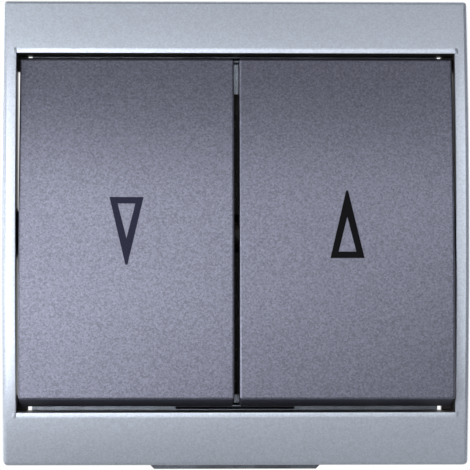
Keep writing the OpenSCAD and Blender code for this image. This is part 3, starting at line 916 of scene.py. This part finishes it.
@dataclass
class ClampScrew:
    """A slotted clamp screw with a rolled thread."""

    wire: str
    across_side: int
    height_side: int
    across: float = 11.4 * MM
    depth: float = 18.4 * MM
    tip: float = 16.8 * MM
    under_head: float = 19.4 * MM
    head_top: float = 20.8 * MM
    head_radius: float = 2.1 * MM
    core_radius: float = 1.1 * MM
    crest_radius: float = 1.4 * MM
    pitch: float = 0.5 * MM
    slot_width: float = 0.6 * MM
    slot_depth: float = 0.7 * MM
    edge: float = 0.2 * MM
    finish: Finish = BARE_METALS[Metal.SCREW_STEEL]

    def _head(self, shape: bmesh.types.BMesh) -> None:
        """Turn the head, cut its slot across and close the slot's floor and walls.

        Args:
            shape: The mesh being made, with the screw's axis on Z.
        """
        slot_floor = self.head_top - self.slot_depth
        outline = [
            (0.0, self.under_head),
            (self.head_radius - 0.05 * MM, self.under_head),
            (self.head_radius, self.under_head + 0.05 * MM),
            (self.head_radius, slot_floor),
            (self.head_radius, self.head_top - self.edge),
            (self.head_radius - 0.3 * self.edge, self.head_top - 0.3 * self.edge),
            (self.head_radius - self.edge, self.head_top),
            (0.0, self.head_top),
        ]
        chain = [
            bmesh.ops.create_vert(shape, co=(radius, 0.0, height))["vert"][0]
            for radius, height in outline
        ]
        edges = [shape.edges.new(pair) for pair in zip(chain, chain[1:])]
        bmesh.ops.spin(
            shape,
            geom=chain + edges,
            cent=(0.0, 0.0, 0.0),
            axis=(0.0, 0.0, 1.0),
            angle=math.tau,
            steps=40,
            use_merge=True,
            use_duplicate=False,
        )
        bmesh.ops.remove_doubles(shape, verts=shape.verts, dist=0.001 * MM)
        half = self.slot_width / 2
        for side in (-half, half):
            parts = list(shape.verts) + list(shape.edges) + list(shape.faces)
            bmesh.ops.bisect_plane(
                shape,
                geom=parts,
                dist=0.0001 * MM,
                plane_co=(0.0, side, 0.0),
                plane_no=(0.0, 1.0, 0.0),
            )
        cut = [
            face
            for face in shape.faces
            if abs(face.calc_center_median().y) < half and face.calc_center_median().z > slot_floor
        ]
        bmesh.ops.delete(shape, geom=cut, context="FACES")
        rim = [edge for edge in shape.edges if edge.is_boundary]
        deep = [edge for edge in rim if all(abs(vert.co.z - slot_floor) < 0.001 * MM for vert in edge.verts)]
        bmesh.ops.contextual_create(shape, geom=list({vert for edge in deep for vert in edge.verts}))
        for side in (-half, half):
            wall = [
                edge
                for edge in shape.edges
                if edge.is_boundary and all(abs(vert.co.y - side) < 0.001 * MM for vert in edge.verts)
            ]
            bmesh.ops.contextual_create(shape, geom=wall)

    def _thread(self, shape: bmesh.types.BMesh) -> None:
        """Wind one turn's profile of the thread down the shank and close its tip.

        Args:
            shape: The mesh being made, with the screw's axis on Z.
        """
        length = self.under_head - self.tip - 0.4 * MM
        turns = length / self.pitch - 1
        steps = round(turns * 28)
        profile = [
            (self.core_radius, 0.0),
            (self.crest_radius, 0.42 * self.pitch),
            (self.crest_radius, 0.58 * self.pitch),
            (self.core_radius, self.pitch),
        ]
        low = self.tip + 0.4 * MM
        chain = [
            bmesh.ops.create_vert(shape, co=(radius, 0.0, low + rise))["vert"][0]
            for radius, rise in profile
        ]
        edges = [shape.edges.new(pair) for pair in zip(chain, chain[1:])]
        bmesh.ops.spin(
            shape,
            geom=chain + edges,
            cent=(0.0, 0.0, 0.0),
            axis=(0.0, 0.0, 1.0),
            dvec=(0.0, 0.0, turns * self.pitch / steps),
            angle=math.tau * turns,
            steps=steps,
            use_duplicate=False,
        )
        core = bmesh.ops.create_cone(
            shape,
            cap_ends=True,
            segments=28,
            radius1=0.8 * MM,
            radius2=self.core_radius,
            depth=0.5 * MM,
        )["verts"]
        bmesh.ops.translate(shape, vec=(0.0, 0.0, self.tip + 0.25 * MM), verts=core)
        shank = bmesh.ops.create_cone(
            shape,
            cap_ends=True,
            segments=28,
            radius1=self.core_radius,
            radius2=self.core_radius,
            depth=self.under_head - self.tip - 0.5 * MM,
        )["verts"]
        bmesh.ops.translate(shape, vec=(0.0, 0.0, (self.under_head + self.tip + 0.5 * MM) / 2), verts=shank)

    def build(self) -> bpy.types.Object:
        """Make the screw and put it in its terminal.

        Returns:
            The finished piece.
        """
        shape = bmesh.new()
        self._head(shape)
        bmesh.ops.recalc_face_normals(shape, faces=shape.faces)
        thread = bmesh.new()
        self._thread(thread)
        bmesh.ops.recalc_face_normals(thread, faces=thread.faces)
        hold = bpy.data.meshes.new(f"{self.wire}_thread")
        thread.to_mesh(hold)
        thread.free()
        shape.from_mesh(hold)
        bpy.data.meshes.remove(hold)
        if self.height_side < 0:
            half_turn = Matrix.Rotation(math.pi, 3, "X")
            bmesh.ops.rotate(shape, verts=shape.verts, cent=(0.0, 0.0, 0.0), matrix=half_turn)
        place = (self.across_side * self.across, self.depth, 0.0)
        bmesh.ops.translate(shape, verts=shape.verts, vec=place)
        return finish_piece(f"{self.wire}_clamp_screw", shape, self.finish, 40.0)


@dataclass
class Terminals:
    """The four wire terminals with their clamp screws."""

    wires: dict[str, tuple[int, int]] = field(
        default_factory=lambda: {"live": (1, -1), "loop": (-1, -1), "down": (-1, 1), "up": (1, 1)}
    )

    def build(self) -> None:
        """Dress the blocks and turn in the screws."""
        for wire, (across_side, height_side) in self.wires.items():
            coat_node(f"{wire}_terminal", BARE_METALS[Metal.BLOCK_BRASS])
            coat_node(f"{wire}_screw", BARE_METALS[Metal.SCREW_STEEL])
            screw = ClampScrew(wire, across_side, height_side)
            piece = screw.build()
            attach(piece, "switch_base")
            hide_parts(f"{wire}_screw")


@dataclass(frozen=True)
class Panel:
    """A soft lamp, placed by its direction from the switch."""

    name: str
    azimuth: float
    elevation: float
    distance: float
    width: float
    height: float
    watts: float
    tint: tuple[float, float, float] = (1.0, 1.0, 1.0)

    def build(self, middle: Vector) -> None:
        """Hang the lamp so that it faces the switch.

        Args:
            middle: The point that the lamp looks at.
        """
        lamp = bpy.data.lights.new(self.name, "AREA")
        lamp.shape = "RECTANGLE"
        lamp.size = self.width
        lamp.size_y = self.height
        lamp.energy = self.watts
        lamp.color = self.tint
        holder = bpy.data.objects.new(self.name, lamp)
        turn = math.radians(self.azimuth)
        rise = math.radians(self.elevation)
        way = Vector((math.sin(turn) * math.cos(rise), -math.cos(turn) * math.cos(rise), math.sin(rise)))
        holder.location = middle + way * self.distance
        holder.rotation_euler = way.to_track_quat("Z", "Y").to_euler()
        bpy.context.scene.collection.objects.link(holder)


@dataclass
class Studio:
    """The pale floor, the lamps, the white surround and the camera."""

    middle: tuple[float, float, float] = (-0.2 * MM, -9.5 * MM, -0.42 * MM)
    camera_azimuth: float = -1.3
    camera_elevation: float = -1.0
    camera_distance: float = 395.0 * MM
    field_width: float = 80.69 * MM
    film_width: float = 36.0
    floor_height: float = -62.0 * MM
    floor_radius: float = 0.16
    panels: tuple[Panel, ...] = (
        Panel("front_low_left", -20.0, -15.0, 1.0, 0.19, 0.17, 0.358),
        Panel("front_highest_left", -20.0, 26.0, 1.0, 0.19, 0.17, 0.302),
        Panel("front_low_mid_left", -9.0, -15.0, 1.0, 0.19, 0.17, 0.799),
        Panel("front_high_mid_left", -9.0, 13.0, 1.0, 0.19, 0.17, 0.528),
        Panel("front_low_mid_right", 2.0, -15.0, 1.0, 0.19, 0.17, 0.223),
        Panel("front_high_mid_right", 2.0, 13.0, 1.0, 0.19, 0.17, 0.163),
        Panel("front_low_right", 13.0, -15.0, 1.0, 0.19, 0.17, 0.069),
        Panel("front_high_right", 13.0, 13.0, 1.0, 0.19, 0.17, 0.210),
        Panel("front_highest_right", 13.0, 26.0, 1.0, 0.19, 0.17, 0.053),
        Panel("left_front_panel", -45.0, 0.0, 1.0, 0.25, 0.60, 3.056),
        Panel("right_panel", 65.0, 4.0, 1.0, 0.30, 0.50, 0.165),
        Panel("front_below_lens_left", -20.0, -6.0, 1.0, 0.19, 0.12, 0.358),
        Panel("front_lens_mid_left", -9.0, 1.0, 1.0, 0.19, 0.12, 0.503),
        Panel("front_lens_mid_right", 2.0, 1.0, 1.0, 0.19, 0.12, 0.124),
        Panel("front_lens_right", 13.0, 1.0, 1.0, 0.19, 0.12, 0.063),
        Panel("left_panel", -60.0, 0.0, 1.0, 0.20, 0.60, 2.968),
        Panel("back_left_panel", 142.0, 28.0, 1.0, 0.50, 0.50, 5.000),
        Panel("back_right_panel", -145.0, 18.0, 1.0, 0.50, 0.50, 4.000),
    )
    front_glow: float = 0.05
    back_glow: float = 0.75

    def build(self) -> None:
        """Set up the whole studio."""
        middle = Vector(self.middle)
        for panel in self.panels:
            panel.build(middle)
        self._floor()
        self._surround()
        self._camera(middle)
        bpy.context.scene.view_settings.view_transform = "Standard"
        log.info("studio has %d lamps", len(self.panels))

    def _floor(self) -> None:
        """Lay the round pale floor."""
        shape = bmesh.new()
        bmesh.ops.create_circle(shape, cap_ends=True, segments=96, radius=self.floor_radius)
        bmesh.ops.translate(shape, vec=(0.0, 0.0, self.floor_height), verts=shape.verts)
        mesh = bpy.data.meshes.new("studio_floor")
        shape.to_mesh(mesh)
        shape.free()
        floor = bpy.data.objects.new("studio_floor", mesh)
        bpy.context.scene.collection.objects.link(floor)
        paint = bpy.data.materials.new("finish_floor")
        paint.use_nodes = True
        bench = Bench(paint.node_tree)
        seen = Wave(bench.tree, bench.node("LightPath").outputs["Is Camera Ray"])
        colour = bench.mix(seen, (0.4, 0.4, 0.4, 1.0), (0.94, 0.94, 0.94, 1.0))
        bench.surface(base_color=colour, roughness=0.9)
        mesh.materials.append(paint)

    def _surround(self) -> None:
        """Make the surround white to the camera, bright behind the switch and dim in front of it."""
        world = bpy.data.worlds.new("studio_surround")
        world.use_nodes = True
        bench = Bench(world.node_tree)
        direction = bench.node("TexCoord").outputs["Generated"]
        depth = Wave(bench.tree, bench.node("SeparateXYZ", None, vector=direction).outputs["Y"])
        behind = bench.between(depth, -0.05, 0.35)
        path = bench.node("LightPath")
        seen = Wave(bench.tree, path.outputs["Is Camera Ray"])
        gloss = Wave(bench.tree, path.outputs["Is Glossy Ray"]) * behind
        through = Wave(bench.tree, path.outputs["Is Transmission Ray"])
        white = bench.between(seen + gloss + through, 0.0, 1.0)
        front = shaded((1.0, 1.0, 1.0), self.front_glow)
        back = shaded((1.0, 1.0, 1.0), self.back_glow)
        colour = bench.mix(white, bench.mix(behind, front, back), (1.0, 1.0, 1.0, 1.0))
        glow = bench.node("Background", None, color=colour, strength=1.0)
        bench.node("OutputWorld", None, surface=glow.outputs[0])
        bpy.context.scene.world = world

    def _camera(self, middle: Vector) -> None:
        """Put the camera where the photograph was taken from.

        Args:
            middle: The point at the middle of the picture.
        """
        lens = bpy.data.cameras.new("photo_camera")
        lens.sensor_width = self.film_width
        lens.lens = self.film_width * self.camera_distance / self.field_width
        lens.clip_start = 0.01
        lens.clip_end = 20.0
        holder = bpy.data.objects.new("photo_camera", lens)
        turn = math.radians(self.camera_azimuth)
        rise = math.radians(self.camera_elevation)
        way = Vector((math.sin(turn) * math.cos(rise), -math.cos(turn) * math.cos(rise), math.sin(rise)))
        holder.location = middle + way * self.camera_distance
        holder.rotation_euler = way.to_track_quat("Z", "Y").to_euler()
        bpy.context.scene.collection.objects.link(holder)
        bpy.context.scene.camera = holder


def main() -> None:
    """Build the studio, then dress the switch from the front to the back."""
    logging.basicConfig(level=logging.INFO, format="%(name)s: %(message)s")
    Studio().build()
    Cover().build()
    # the down arrow gets the lighter copy of the black print, as painted light
    RockerHalf(Side.DOWN, LIT_BLACK_PRINT).build()
    RockerHalf(Side.UP, BLACK_PRINT).build()
    Carrier().build()
    Contacts().build()
    Terminals().build()


if __name__ == "__main__":
    main()
